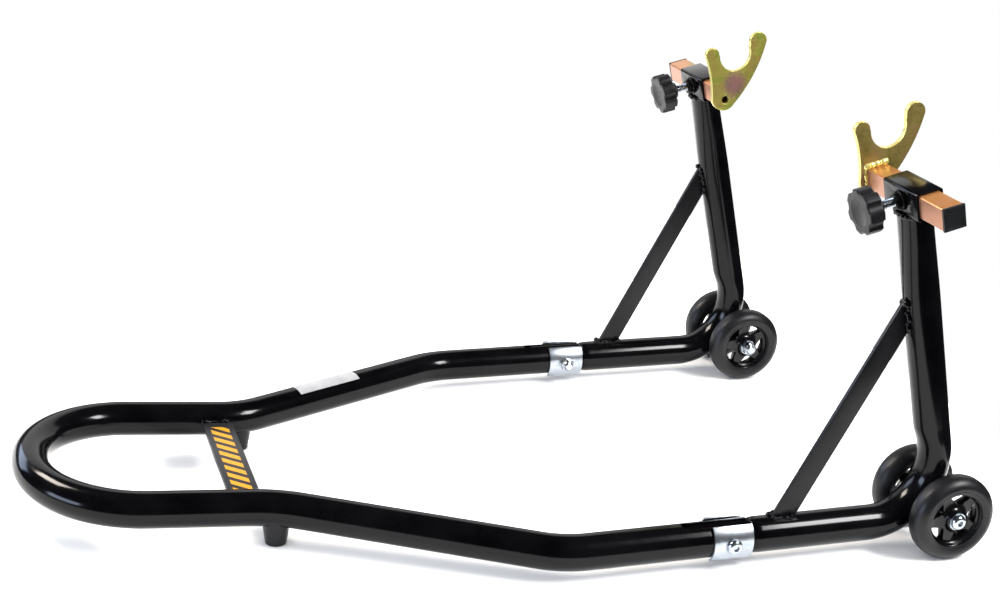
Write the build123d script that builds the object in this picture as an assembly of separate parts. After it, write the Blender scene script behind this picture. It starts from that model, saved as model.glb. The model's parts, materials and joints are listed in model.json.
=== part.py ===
from build123d import *
import math
import os

# Two-piece paddock stand: a U-shaped handle bolted onto two bent rear tubes, each with a
# leaning upright, a brace, a pair of wheels and a clamped sliding bar that carries a hook.
# Working frame: +X from the handle to the wheels, +Y to the left, +Z up, floor at Z = 0.
# Lengths in mm, angles in degrees. The left side is modelled and mirrored to the right.

# ---------------------------------------------------------------- driving dimensions
tube_od = 32.0                 # frame tube
tube_wall = 2.0
track_half = 208.0             # centre plane of the stand to each rear tube
rear_tube_height = 24.1        # centreline of the rear tubes above the floor
bolt_to_corner = 214.7         # joint bolt to the corner where the upright starts
upright_length = 303.6         # that corner to the upright's top end
upright_lean = 14.6            # tilt of the uprights towards the handle
bend_radius = 60.0
pinch_length = 90.0            # top of the upright, squeezed to an oval
pinch_overhang = 1.0           # it stands this much wider than the sleeve, each side

straight_length = 150.8        # joint bolt to the handle's outer bend
splay_length = 222.7           # outer bend to inner bend, along X
grip_length = 199.0            # inner bend to the centreline of the handle's end
arm_half = 93.6                # centre plane to each handle arm
inner_bend_height = 32.5
grip_slope = 4.41              # the arms rise towards the handle's end
kink_radius = 90.0
end_straight = 3.1             # half the straight across the handle's end

handle_overlap = 18.5          # joint bolt to the handle tube's open end
spigot_length = 43.0           # swaged end of the rear tube inside the handle tube
spigot_gap = 0.2
shoulder_length = 8.0
slot_length = 63.0
slot_width = 3.5
slot_eye_radius = 4.0

saddle_length = 37.0
saddle_thickness = 2.0
saddle_looseness = 3.0         # its inner radius, beyond the tube's
saddle_half_angle = 52.0

bolt_diameter = 8.0            # M8 throughout
bolt_pitch = 1.25
bolt_hole_gap = 0.25           # radial, in plates and tubes
thread_gap = 0.05              # radial, bolt in nut
head_radius = 7.0
head_height = 4.4
head_rounding = 3.0
socket_size = 5.0
socket_depth = 2.6
nut_size = 13.0
lock_nut_height = 8.0
lock_nut_collar = 1.8
lock_nut_step = 0.5            # collar inside the flats
bolt_tip = 1.5                 # thread showing past a nut

wheel_diameter = 80.0
wheel_gap = 4.0                # tyre to rear tube
tyre_width = 24.0
tyre_rounding = 9.5
rim_share = 0.675              # rim radius as a share of the wheel radius
rim_thickness = 2.5
rim_width = 20.0
web_thickness = 8.0
spoke_count = 5
opening_boss_gap = 0.5
opening_rim_gap = 2.0
opening_angle = 44.0
opening_rounding = 2.0
boss_root_radius = 12.5
boss_tip_radius = 9.5
hub_width = 19.0
bush_wall = 2.0
running_gap = 0.05             # radial, bush on axle bolt
side_gap = 0.2                 # along the axle, each side of a hub
washer_radius = 8.0
washer_thickness = 1.2
axle_clearance = 0.6           # axle bolt to the outside of the bend
axle_tube_wall = 4.5

brace_width = 20.0
brace_thickness = 4.0
brace_foot = 169.2             # corner to the brace's foot, along the rear tube
brace_drop = 75.4              # upright's top end down to the brace's top

bar_gap = 0.5                  # bar in sleeve, each side
sleeve_wall = 2.0
sleeve_length = 52.0
sleeve_rounding = 3.0
weld_nut_height = 6.5

bar_size = 20.0
bar_wall = 2.0
bar_rounding = 2.0
bar_inboard = 56.6             # rear tube's plane to the bar's hook end
bar_outboard = 59.5            # rear tube's plane to the bar's outer end
cap_flange = 2.5
cap_plug = 12.0
cap_gap = 0.1

hook_thickness = 5.0
notch_radius = 17.3
notch_x = 14.2                 # hook outline, from the bar's centre; x across the upright,
notch_z = 41.0                 # z along it
short_horn_radius = 7.2
short_horn_x = -10.6
short_horn_z = 46.0
long_horn_radius = 9.0
long_horn_x = 41.3
long_horn_z = 47.8
heel_radius = 13.4
heel_x = -4.0
heel_z = -1.0
back_bulge = 4.5               # how far the hook's back bows out of a straight line
waist_depth = 2.0              # how far its front bows in
heel_angles = (180, 250, 318)          # start, middle and end of each round stretch
long_horn_angles = (-15, 90, 188)
notch_angles = (10, 265, 172)
short_horn_angles = (-8, 90, 205)
hook_hole_radius = 4.0
hook_hole_x = -3.1
hook_hole_z = -3.5

knob_radius = 20.0
knob_thickness = 14.0
knob_lobes = 7
knob_scallop_radius = 7.5
knob_scallop_centre = 25.0
knob_rounding = 1.5
knob_dish_radius = 12.5
knob_dish_depth = 2.2
knob_boss_radius = 8.0
knob_boss_length = 5.5
knob_standoff = 19.5           # sleeve face to the knob's boss
stud_in_knob = 11.0
stud_tip_gap = 0.1             # clamped stud to the bar

plate_width = 28.0
plate_thickness = 4.0
plate_from_bend = 24.2         # inner bend to the cross plate's middle, along X
plate_lift = 1.0               # above the arms' centreline

foot_top_radius = 14.1
foot_bottom_radius = 9.2
foot_rounding = 1.5
foot_out = 3.0                 # outboard of the handle arm's corner
foot_back = 1.0                # towards the handle from that corner
foot_screw_radius = 2.5
foot_screw_head_radius = 4.5
foot_screw_head_height = 2.8
foot_screw_reach = 5.0         # into the tube
foot_recess_radius = 5.2
foot_recess_depth = 5.0
foot_screw_gap = 0.15

label_length = 76.0
label_from_bend = 105.2        # inner bend to the label's middle, along the arm
label_arc = 60.0
label_tilt = 8.0               # turned towards the centre plane
label_thickness = 0.25
weld_size = 2.5
weld_toe = 0.6                 # thin end of the bead under a sleeve
weld_slope = 35.0

# ---------------------------------------------------------------- derived places
tube_radius = tube_od / 2
tube_bore = tube_radius - tube_wall
bolt_radius = bolt_diameter / 2
bolt_hole = bolt_radius + bolt_hole_gap
wheel_radius = wheel_diameter / 2
rim_radius = wheel_radius * rim_share
wheel_offset = tube_radius + wheel_gap + tyre_width / 2     # rear tube's plane to wheel centre
sleeve_size = bar_size + 2 * (bar_gap + sleeve_wall)
end_radius = arm_half - end_straight
lean = math.radians(upright_lean)
across = Vector(math.cos(lean), 0, math.sin(lean))      # square to the upright, rearwards
along = Vector(-math.sin(lean), 0, math.cos(lean))      # up the upright

# The corner of the rear tube is at X = 0 in the working frame.
corner = Vector(0, track_half, rear_tube_height)
joint_x = -bolt_to_corner
handle_open_x = joint_x + handle_overlap
shoulder_x = handle_open_x + shoulder_length
upright_top = corner + along * upright_length
sleeve_centre = upright_top + along * (sleeve_size / 2)

# The axle lies at wheel height, just outside the bend.
bend_centre_z = rear_tube_height + bend_radius
bend_centre_x = -bend_radius * (1 + math.sin(lean)) / math.cos(lean)
axle_reach = bend_radius + tube_radius + axle_clearance + bolt_radius
axle_x = bend_centre_x + math.sqrt(axle_reach ** 2 - (bend_centre_z - wheel_radius) ** 2)

outer_bend = Vector(joint_x - straight_length, track_half, rear_tube_height)
inner_bend = Vector(outer_bend.X - splay_length, arm_half, inner_bend_height)
slope = math.tan(math.radians(grip_slope))
end_corner = Vector(inner_bend.X - grip_length, arm_half,
                    inner_bend_height + slope * grip_length)

# The finished stand is centred on its own length.
middle_x = (axle_x + wheel_radius + end_corner.X - tube_radius) / 2

nodes = {}


def flip(point):
    return Vector(point.X, -point.Y, point.Z)


def add_pair(name, shape):
    nodes[name + "_left"] = shape
    nodes[name + "_right"] = mirror(shape, about=Plane.XZ)


def add_group(name, shapes, mirrored=True):
    solids = list(shapes)
    if mirrored:
        solids += [mirror(shape, about=Plane.XZ) for shape in shapes]
    nodes[name] = Compound(solids)


def swept(path, radius):
    start = Plane(origin=path @ 0, z_dir=path % 0)
    return sweep(start * Circle(radius), path=path)


def y_cylinder(centre, radius, length):
    return Plane(origin=centre, z_dir=(0, 1, 0)) * Cylinder(radius, length)


# ---------------------------------------------------------------- rear tubes
rear_path = FilletPolyline(Vector(shoulder_x, track_half, rear_tube_height), corner,
                           upright_top - along * pinch_length, radius=bend_radius)
pinch_start = Plane(origin=upright_top - along * pinch_length, x_dir=across, z_dir=along)
pinch_end = Plane(origin=upright_top, x_dir=across, z_dir=along)
pinch_half = sleeve_size / 2 + pinch_overhang
pinch_half_wide = tube_od - pinch_half       # the squeezed oval keeps the tube's girth


def upright_oval(grow, drop=0):
    # section of the squeezed upright, at a drop below its top end
    return pinch_end.offset(-drop) * Ellipse(pinch_half + grow, pinch_half_wide + grow)


def rear_solid(grow):
    # rear tube as a filled bar, its surface moved out by grow
    top = loft([pinch_start * Circle(tube_radius + grow), upright_oval(grow)])
    return swept(rear_path, tube_radius + grow) + top


spigot_radius = tube_bore - spigot_gap
spigot_end_x = handle_open_x - spigot_length
spigot_outline = Polyline((spigot_end_x, spigot_radius), (handle_open_x, spigot_radius),
                          (shoulder_x, tube_radius), (shoulder_x, tube_bore),
                          (handle_open_x, spigot_radius - tube_wall),
                          (spigot_end_x, spigot_radius - tube_wall), close=True)
rear_axis = Axis((0, track_half, rear_tube_height), (1, 0, 0))
rear_axis_plane = Plane(origin=(0, track_half, rear_tube_height), x_dir=(1, 0, 0),
                        z_dir=(0, -1, 0))
spigot = revolve(rear_axis_plane * make_face(spigot_outline), axis=rear_axis)
joint_centre = Vector(joint_x, track_half, rear_tube_height)
joint_hole = y_cylinder(joint_centre, bolt_hole, 2 * tube_od)
rear_full = rear_solid(0)
rear_tube = rear_full - rear_solid(-tube_wall) + spigot - joint_hole
add_pair("rear_tube", rear_tube)

# ---------------------------------------------------------------- handle tube
half_path = [Vector(handle_open_x, track_half, rear_tube_height), outer_bend, inner_bend,
             end_corner]
handle_path = FilletPolyline(*half_path, *[flip(point) for point in reversed(half_path)],
                             radius=[kink_radius, kink_radius, end_radius,
                                     end_radius, kink_radius, kink_radius])
handle_full = swept(handle_path, tube_radius)
slot_eye_x = handle_open_x - slot_length + slot_eye_radius
slot_middle = Vector((slot_eye_x + handle_open_x) / 2, track_half,
                     rear_tube_height + tube_radius)
slot = (Pos(slot_middle) * Box(handle_open_x - slot_eye_x, slot_width, tube_radius)
        + Pos(slot_eye_x, track_half, rear_tube_height + tube_radius)
        * Cylinder(slot_eye_radius, tube_radius))
foot_x = inner_bend.X - foot_back
foot_y = arm_half + foot_out
foot_top = inner_bend_height
foot_hole = Pos(foot_x, foot_y, foot_top / 2) * Cylinder(
    foot_screw_radius + foot_screw_gap, foot_top)
handle_cuts = slot + joint_hole + foot_hole
handle_tube = (handle_full - swept(handle_path, tube_bore) - handle_cuts
               - mirror(handle_cuts, about=Plane.XZ))
nodes["handle_tube"] = handle_tube

# ---------------------------------------------------------------- cross plate
plate_x = inner_bend.X - plate_from_bend
plate_z = inner_bend_height + slope * plate_from_bend + plate_lift
plate_place = Pos(plate_x, 0, plate_z) * Rot(0, grip_slope, 0)
plate_blank = plate_place * Box(plate_width, 2 * arm_half, plate_thickness)
cross_plate = plate_blank - handle_full
nodes["handle_cross_plate"] = cross_plate
plate_bead = (plate_place * Box(plate_width + 2 * weld_size, 2 * arm_half,
                                plate_thickness + 2 * weld_size)
              & swept(handle_path, tube_radius + weld_size))
add_group("cross_plate_welds", (plate_bead - handle_full - plate_blank).solids(), False)

# ---------------------------------------------------------------- feet
foot_bore = Cylinder(foot_screw_radius + foot_screw_gap, 2 * foot_top)
foot_cone = Pos(0, 0, foot_top / 2) * Cone(foot_bottom_radius, foot_top_radius, foot_top)
foot_cone = fillet(foot_cone.edges().sort_by(Axis.Z)[0], foot_rounding)
foot_recess = Pos(0, 0, foot_recess_depth / 2) * Cylinder(foot_recess_radius,
                                                          foot_recess_depth)
foot = Pos(foot_x, foot_y, 0) * (foot_cone - foot_bore - foot_recess) - handle_full
add_pair("foot", foot.solids().sort_by(Axis.Z)[0])
screw_tip_z = inner_bend_height - tube_radius + foot_screw_reach
screw_shank = screw_tip_z - foot_recess_depth
screw_head = Pos(0, 0, foot_recess_depth - foot_screw_head_height / 2) * Cylinder(
    foot_screw_head_radius, foot_screw_head_height)
screw_body = Pos(0, 0, foot_recess_depth + screw_shank / 2) * Cylinder(
    foot_screw_radius, screw_shank)
add_group("foot_screws", [Pos(foot_x, foot_y, 0) * (screw_head + screw_body)])

# ---------------------------------------------------------------- blank label
splay = (outer_bend - inner_bend).normalized()
label_up = Vector(-splay.Z * splay.X, -splay.Z * splay.Y, splay.X ** 2 + splay.Y ** 2)
label_side = label_up.cross(splay)
label_mid = inner_bend + splay * label_from_bend
label_outer = CenterArc((0, 0), tube_radius + label_thickness,
                        90 - label_arc / 2 + label_tilt, label_arc)
label_inner = CenterArc((0, 0), tube_radius, 90 - label_arc / 2 + label_tilt, label_arc)
label_face = make_face([label_outer, label_inner, Line(label_outer @ 0, label_inner @ 0),
                        Line(label_outer @ 1, label_inner @ 1)])
label_plane = Plane(origin=label_mid - splay * (label_length / 2), z_dir=splay,
                    x_dir=label_side)
nodes["blank_label"] = extrude(label_plane * label_face, amount=label_length)

# ---------------------------------------------------------------- fasteners
def button_bolt(length):
    # button head above Z = 0 with a hexagon socket, plain shank below
    head = Pos(0, 0, head_height / 2) * Cylinder(head_radius, head_height)
    head = fillet(head.edges().sort_by(Axis.Z)[-1], head_rounding)
    socket = Pos(0, 0, head_height - socket_depth) * extrude(
        RegularPolygon(socket_size / 2, 6, major_radius=False), amount=socket_depth)
    return head - socket + Pos(0, 0, -length / 2) * Cylinder(bolt_radius, length)


def hex_nut(height):
    # stands on Z = 0
    blank = extrude(RegularPolygon(nut_size / 2, 6, major_radius=False), amount=height)
    return blank - Pos(0, 0, height / 2) * Cylinder(bolt_radius + thread_gap, height)


def lock_nut():
    flats = hex_nut(lock_nut_height - lock_nut_collar)
    collar = Pos(0, 0, lock_nut_height - lock_nut_collar / 2) * (
        Cylinder(nut_size / 2 - lock_nut_step, lock_nut_collar)
        - Cylinder(bolt_radius + thread_gap, lock_nut_collar))
    return flats + collar


def facing(centre, direction):
    return Plane(origin=centre, x_dir=(1, 0, 0), z_dir=direction)


outward = Vector(0, 1, 0)
inward = Vector(0, -1, 0)

# ---------------------------------------------------------------- bolted joint
saddle_inner_radius = tube_radius + saddle_looseness
saddle_outer_radius = saddle_inner_radius + saddle_thickness
saddle_middle = tube_radius - saddle_inner_radius
saddle_arcs = [CenterArc((saddle_middle, 0), radius, -saddle_half_angle,
                         2 * saddle_half_angle)
               for radius in (saddle_outer_radius, saddle_inner_radius)]
saddle_face = make_face([*saddle_arcs,
                         Line(saddle_arcs[0] @ 0, saddle_arcs[1] @ 0),
                         Line(saddle_arcs[0] @ 1, saddle_arcs[1] @ 1)])


def saddle(side):
    place = Plane(origin=joint_centre - Vector(saddle_length / 2, 0, 0), x_dir=side,
                  z_dir=(1, 0, 0))
    shell = extrude(place * saddle_face, dir=(1, 0, 0), amount=saddle_length)
    return shell - joint_hole


add_pair("joint_saddle_outer", saddle(outward))
add_pair("joint_saddle_inner", saddle(inward))
saddle_reach = tube_radius + saddle_thickness
joint_bolt_length = 2 * saddle_reach + lock_nut_height + bolt_tip
add_group("joint_bolts", [facing(joint_centre + outward * saddle_reach, outward)
                          * button_bolt(joint_bolt_length)])
add_group("joint_lock_nuts", [facing(joint_centre + inward * saddle_reach, inward)
                              * lock_nut()])

# ---------------------------------------------------------------- braces
brace_low = corner - Vector(brace_foot, 0, 0)
brace_high = upright_top - along * brace_drop
brace_run = brace_high - brace_low
brace_place = Plane(origin=(brace_low + brace_high) * 0.5, x_dir=(0, 1, 0),
                    z_dir=brace_run.normalized())


def brace_bar(grow):
    return brace_place * Box(brace_thickness + 2 * grow, brace_width + 2 * grow,
                             brace_run.length)


brace = (brace_bar(0) - rear_full).solids().sort_by(SortBy.VOLUME)[-1]
add_pair("brace", brace)
rear_fat = rear_solid(weld_size)
brace_beads = ((brace_bar(weld_size) & rear_fat) - rear_full - brace_bar(0)).solids()
add_group("brace_welds", brace_beads)

# ---------------------------------------------------------------- axles
axle_centre = Vector(axle_x, track_half, wheel_radius)
hub_half = hub_width / 2
axle_tube_half = wheel_offset - hub_half - 2 * side_gap - washer_thickness
axle_tube_radius = bolt_hole + axle_tube_wall
axle_tube_rough = (y_cylinder(axle_centre, axle_tube_radius, 2 * axle_tube_half)
                   - y_cylinder(axle_centre, bolt_hole, 2 * axle_tube_half))
add_pair("axle_tube", axle_tube_rough - rear_full)
axle_bead = (y_cylinder(axle_centre, axle_tube_radius + weld_size,
                        2 * (axle_tube_half - weld_size)) & rear_fat)
axle_bead = axle_bead - rear_full - y_cylinder(axle_centre, axle_tube_radius,
                                               2 * axle_tube_half)
add_group("axle_tube_welds", axle_bead.solids())

wheel_side = hub_half + side_gap
washer = Cylinder(washer_radius, washer_thickness) - Cylinder(bolt_hole, washer_thickness)
washer_places = [sign * wheel_offset + turn * (wheel_side + washer_thickness / 2)
                 for sign in (-1, 1) for turn in (-1, 1)]
add_group("axle_washers", [facing(axle_centre + outward * place, outward) * washer
                           for place in washer_places])
axle_seat = wheel_offset + wheel_side + washer_thickness
add_group("axle_bolts", [facing(axle_centre + outward * axle_seat, outward)
                         * button_bolt(2 * axle_seat + lock_nut_height + bolt_tip)])
add_group("axle_lock_nuts", [facing(axle_centre + inward * axle_seat, inward)
                             * lock_nut()])

# ---------------------------------------------------------------- wheels
# each wheel is turned about Z and then laid on its axle
tyre_section = Pos((rim_radius + wheel_radius) / 2, 0) * Rectangle(
    wheel_radius - rim_radius, tyre_width)
tyre_section = fillet(tyre_section.vertices().group_by(Axis.X)[-1], tyre_rounding)
tyre = revolve(Plane.XZ * tyre_section, axis=Axis.Z)

rim_seat = rim_radius - rim_thickness
core_outline = Polyline(
    (0, hub_half), (boss_tip_radius, hub_half), (boss_root_radius, web_thickness / 2),
    (rim_seat, web_thickness / 2), (rim_seat, rim_width / 2), (rim_radius, rim_width / 2),
    (rim_radius, -rim_width / 2), (rim_seat, -rim_width / 2),
    (rim_seat, -web_thickness / 2), (boss_root_radius, -web_thickness / 2),
    (boss_tip_radius, -hub_half), (0, -hub_half), close=True)
bush_bore = bolt_radius + running_gap
bush_radius = bush_bore + bush_wall
core = (revolve(Plane.XZ * make_face(core_outline), axis=Axis.Z)
        - Cylinder(bush_radius, hub_width))
opening_arcs = [CenterArc((0, 0), radius, -opening_angle / 2, opening_angle)
                for radius in (boss_root_radius + opening_boss_gap, rim_seat - opening_rim_gap)]
opening = make_face([*opening_arcs, Line(opening_arcs[0] @ 0, opening_arcs[1] @ 0),
                     Line(opening_arcs[0] @ 1, opening_arcs[1] @ 1)])
opening = fillet(opening.vertices(), opening_rounding)
for spoke in range(spoke_count):
    turned = Rot(0, 0, spoke * 360 / spoke_count) * opening
    core -= extrude(turned, amount=web_thickness, both=True)
bush = Cylinder(bush_radius, hub_width) - Cylinder(bush_bore, hub_width)
for side, offset in (("outer", wheel_offset), ("inner", -wheel_offset)):
    place = facing(axle_centre + outward * offset, outward)
    add_pair("tyre_" + side, place * tyre)
    add_pair("wheel_core_" + side, place * core)
    add_pair("wheel_bush_" + side, place * bush)

# ---------------------------------------------------------------- sleeves
# sections are drawn with X across the upright and extruded along the bar
sleeve_plane = Plane(origin=sleeve_centre, x_dir=across, z_dir=(0, 1, 0))
sleeve_bore = sleeve_size - 2 * sleeve_wall
clamp_place = Plane(origin=sleeve_centre - across * (sleeve_size / 2), x_dir=(0, 1, 0),
                    z_dir=-across)
sleeve_section = (RectangleRounded(sleeve_size, sleeve_size, sleeve_rounding)
                  - RectangleRounded(sleeve_bore, sleeve_bore,
                                     sleeve_rounding - sleeve_wall))
sleeve = extrude(sleeve_plane * sleeve_section, amount=sleeve_length / 2, both=True)
sleeve -= clamp_place * Cylinder(bolt_hole, 3 * sleeve_wall)
add_pair("sleeve", sleeve)
add_group("sleeve_nuts", [clamp_place * hex_nut(weld_nut_height)])
bead_ring = loft([upright_oval(weld_size), upright_oval(weld_toe, weld_size)])
add_group("sleeve_welds", (bead_ring - rear_full).solids())

# ---------------------------------------------------------------- sliding bars
bar_length = bar_inboard + bar_outboard
bar_inner = bar_size - 2 * bar_wall
bar_start = Plane(origin=sleeve_centre + inward * bar_inboard, x_dir=across,
                  z_dir=(0, 1, 0))
bar_section = (RectangleRounded(bar_size, bar_size, bar_rounding)
               - Rectangle(bar_inner, bar_inner))
add_pair("slide_bar", extrude(bar_start * bar_section, amount=bar_length))
plug_size = bar_inner - 2 * cap_gap
cap = (Pos(0, 0, bar_length + cap_flange / 2) * Box(bar_size, bar_size, cap_flange)
       + Pos(0, 0, bar_length - cap_plug / 2) * Box(plug_size, plug_size, cap_plug))
add_pair("bar_end_cap", bar_start * cap)

# ---------------------------------------------------------------- hooks


def toward(centre, radius, angle):
    return (centre[0] + radius * math.cos(math.radians(angle)),
            centre[1] + radius * math.sin(math.radians(angle)))


def bowed(start, finish, depth):
    # arc between two points, bowing to the right of the way from start to finish
    gap_x = finish[0] - start[0]
    gap_z = finish[1] - start[1]
    span = math.hypot(gap_x, gap_z)
    middle = ((start[0] + finish[0]) / 2 + depth * gap_z / span,
              (start[1] + finish[1]) / 2 - depth * gap_x / span)
    return ThreePointArc(start, middle, finish)


notch = (notch_x, notch_z)
short_horn = (short_horn_x, short_horn_z)
long_horn = (long_horn_x, long_horn_z)
heel = (heel_x, heel_z)
# the outline runs anticlockwise from the heel's left side
heel_arc = [toward(heel, heel_radius, angle) for angle in heel_angles]
long_arc = [toward(long_horn, long_horn_radius, angle) for angle in long_horn_angles]
notch_arc = [toward(notch, notch_radius, angle) for angle in notch_angles]
short_arc = [toward(short_horn, short_horn_radius, angle) for angle in short_horn_angles]
hook_outline = [
    ThreePointArc(*heel_arc),
    bowed(heel_arc[2], long_arc[0], back_bulge),
    ThreePointArc(*long_arc),
    Line(long_arc[2], notch_arc[0]),
    ThreePointArc(*notch_arc),
    Line(notch_arc[2], short_arc[0]),
    ThreePointArc(*short_arc),
    bowed(short_arc[2], heel_arc[0], -waist_depth)]
# drawn in the plane of the bar's end, x across and y along the upright
hook_plane = Plane(origin=sleeve_centre + inward * bar_inboard, x_dir=across,
                   z_dir=(0, -1, 0))
hook_face = make_face(hook_outline) - Pos(hook_hole_x, hook_hole_z) * Circle(
    hook_hole_radius)
add_pair("hook_plate", extrude(hook_plane * hook_face, amount=hook_thickness))
bead_size = bar_size + 2 * weld_size
hook_bead = extrude(bar_start * RectangleRounded(bead_size, bead_size, weld_size),
                    amount=weld_size, taper=weld_slope)
add_pair("hook_weld", hook_bead - extrude(
    bar_start * RectangleRounded(bar_size, bar_size, bar_rounding), amount=weld_size))

# ---------------------------------------------------------------- clamp knobs
# along the screw, from the sleeve's face outwards
stud_start = (bar_size - sleeve_size) / 2 + stud_tip_gap
stud_length = knob_standoff + stud_in_knob - stud_start
add_pair("clamp_stud", clamp_place * Pos(0, 0, stud_start + stud_length / 2)
         * Cylinder(bolt_radius, stud_length))
grip = Circle(knob_radius)
for lobe in range(knob_lobes):
    centre = toward((0, 0), knob_scallop_centre, (lobe + 0.5) * 360 / knob_lobes)
    grip -= Pos(*centre) * Circle(knob_scallop_radius)
grip = extrude(Pos(0, 0, knob_boss_length) * grip, amount=knob_thickness)
grip = fillet(grip.edges().group_by(Axis.Z)[-1] + grip.edges().group_by(Axis.Z)[0],
              knob_rounding)
dish_sphere = (knob_dish_radius ** 2 + knob_dish_depth ** 2) / (2 * knob_dish_depth)
knob_length = knob_boss_length + knob_thickness
knob = (grip + Pos(0, 0, knob_boss_length / 2) * Cylinder(knob_boss_radius,
                                                          knob_boss_length)
        - Pos(0, 0, knob_length - knob_dish_depth + dish_sphere) * Sphere(dish_sphere)
        - Pos(0, 0, stud_in_knob / 2) * Cylinder(bolt_radius + running_gap, stud_in_knob))
add_pair("clamp_knob", clamp_place * Pos(0, 0, knob_standoff) * knob)

# ---------------------------------------------------------------- files
os.makedirs("parts", exist_ok=True)
for name, shape in nodes.items():
    export_step(Pos(-middle_x, 0, 0) * shape, "parts/" + name + ".step")
print("bend leaves the axle at x", round(axle_x - middle_x, 2))
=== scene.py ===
import json
import math
import random

import bpy
from mathutils import Matrix, Vector


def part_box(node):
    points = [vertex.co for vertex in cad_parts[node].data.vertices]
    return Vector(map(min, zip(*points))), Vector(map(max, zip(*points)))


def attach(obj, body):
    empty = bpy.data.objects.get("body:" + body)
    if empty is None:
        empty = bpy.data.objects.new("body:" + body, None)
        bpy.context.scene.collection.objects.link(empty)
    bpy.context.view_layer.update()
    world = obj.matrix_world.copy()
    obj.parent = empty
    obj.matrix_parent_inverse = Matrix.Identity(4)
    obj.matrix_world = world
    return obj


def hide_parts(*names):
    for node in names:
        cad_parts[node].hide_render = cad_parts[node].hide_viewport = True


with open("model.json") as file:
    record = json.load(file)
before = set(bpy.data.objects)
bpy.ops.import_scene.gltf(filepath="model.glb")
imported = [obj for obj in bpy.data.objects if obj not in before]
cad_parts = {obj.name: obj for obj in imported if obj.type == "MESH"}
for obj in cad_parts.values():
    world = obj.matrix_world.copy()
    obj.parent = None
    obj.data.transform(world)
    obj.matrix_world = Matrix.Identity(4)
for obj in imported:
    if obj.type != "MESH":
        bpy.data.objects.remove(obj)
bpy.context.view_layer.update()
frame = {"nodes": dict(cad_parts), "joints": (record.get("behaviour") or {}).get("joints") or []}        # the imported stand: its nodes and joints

sides = {"left": 1, "right": -1}
mm = 0.001

# the sizes that several pieces share
tube = {"radius": 16 * mm, "wall": 2 * mm, "sides": 72, "bendSteps": 22}
sleeve = {"outer": 25 * mm, "inner": 21 * mm, "corner": 2.7 * mm, "edge": 0.4 * mm}


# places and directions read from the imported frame
def middleOf(node):
    low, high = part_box(node)
    return (low + high) / 2


def jointAxis(name):
    return Vector(next(joint["axis"] for joint in frame["joints"] if joint["name"] == name))


across = -jointAxis("stud_left_travel")          # square to the upright, towards the wheels
along = Vector((-across.z, 0, across.x))         # up the upright
outward = Vector((0, 1, 0))
up = Vector((0, 0, 1))
sleeveMiddle = middleOf("sleeve_left")
sleeveFoot = sleeveMiddle - along * (sleeve["outer"] / 2)       # where the upright meets it
clampFace = sleeveMiddle - across * (sleeve["outer"] / 2)       # where the clamp nut sits
boltMiddle = middleOf("joint_bolts")
axleMiddle = middleOf("axle_bolts")
trackHalf = sleeveMiddle.y
tubeHeight = boltMiddle.z


def flipped(point):
    return Vector((point.x, -point.y, point.z))


def onSide(point, side):
    return Vector((point.x, point.y * sides[side], point.z))


def selectOnly(*pieces):
    if bpy.context.mode != "OBJECT":
        bpy.ops.object.mode_set(mode="OBJECT")
    bpy.ops.object.select_all(action="DESELECT")
    for piece in pieces:
        piece.select_set(True)
    if pieces:
        bpy.context.view_layer.objects.active = pieces[0]


def editAll(piece):
    selectOnly(piece)
    bpy.ops.object.mode_set(mode="EDIT")
    bpy.ops.mesh.select_all(action="SELECT")


def editFaces(piece, test):
    # edit mode, with only the faces that pass the test selected
    selectOnly(piece)
    bpy.ops.object.mode_set(mode="EDIT")
    bpy.ops.mesh.select_mode(type="FACE")
    bpy.ops.mesh.select_all(action="DESELECT")
    bpy.ops.object.mode_set(mode="OBJECT")
    for face in piece.data.polygons:
        face.select = test(face)
    bpy.ops.object.mode_set(mode="EDIT")


def editEdges(piece, test):
    # edit mode, with only the edges whose two ends pass the test selected
    selectOnly(piece)
    bpy.ops.object.mode_set(mode="EDIT")
    bpy.ops.mesh.select_mode(type="EDGE")
    bpy.ops.mesh.select_all(action="DESELECT")
    bpy.ops.object.mode_set(mode="OBJECT")
    points = piece.data.vertices
    for edge in piece.data.edges:
        edge.select = test(*(points[index].co for index in edge.vertices))
    bpy.ops.object.mode_set(mode="EDIT")


def leaveEdit():
    bpy.ops.object.mode_set(mode="OBJECT")


def freeze(piece):
    selectOnly(piece)
    bpy.ops.object.transform_apply(location=True, rotation=True, scale=True)


def place(piece, origin, zAxis, xAxis=(1, 0, 0)):
    zAxis = Vector(zAxis).normalized()
    xAxis = Vector(xAxis)
    xAxis = (xAxis - zAxis * zAxis.dot(xAxis)).normalized()
    turn = Matrix((xAxis, zAxis.cross(xAxis), zAxis)).transposed().to_4x4()
    piece.matrix_world = Matrix.Translation(origin) @ turn
    freeze(piece)
    return piece


def copyOf(piece):
    twin = piece.copy()
    twin.data = piece.data.copy()
    bpy.context.collection.objects.link(twin)
    return twin


def applied(piece, kind, **settings):
    modifier = piece.modifiers.new(kind.lower(), kind)
    for name, value in settings.items():
        setattr(modifier, name, value)
    selectOnly(piece)
    bpy.ops.object.modifier_apply(modifier=modifier.name)
    return piece


def eased(piece, width, segments, angle):
    # corners sharper than the angle get a small round
    return applied(piece, "BEVEL", width=width, segments=segments, limit_method="ANGLE",
                   angle_limit=math.radians(angle))


def block(size, location=(0, 0, 0)):
    selectOnly()
    bpy.ops.mesh.primitive_cube_add(size=1, location=location)
    piece = bpy.context.object
    piece.scale = size
    freeze(piece)
    return piece


def cylinder(radius, depth, location=(0, 0, 0), rotation=(0, 0, 0), vertices=48):
    selectOnly()
    bpy.ops.mesh.primitive_cylinder_add(vertices=vertices, radius=radius, depth=depth,
                                        location=location, rotation=rotation)
    piece = bpy.context.object
    freeze(piece)
    return piece


def cut(piece, cutter, operation="DIFFERENCE"):
    applied(piece, "BOOLEAN", object=cutter, operation=operation, solver="EXACT")
    bpy.data.objects.remove(cutter)
    return piece


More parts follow.
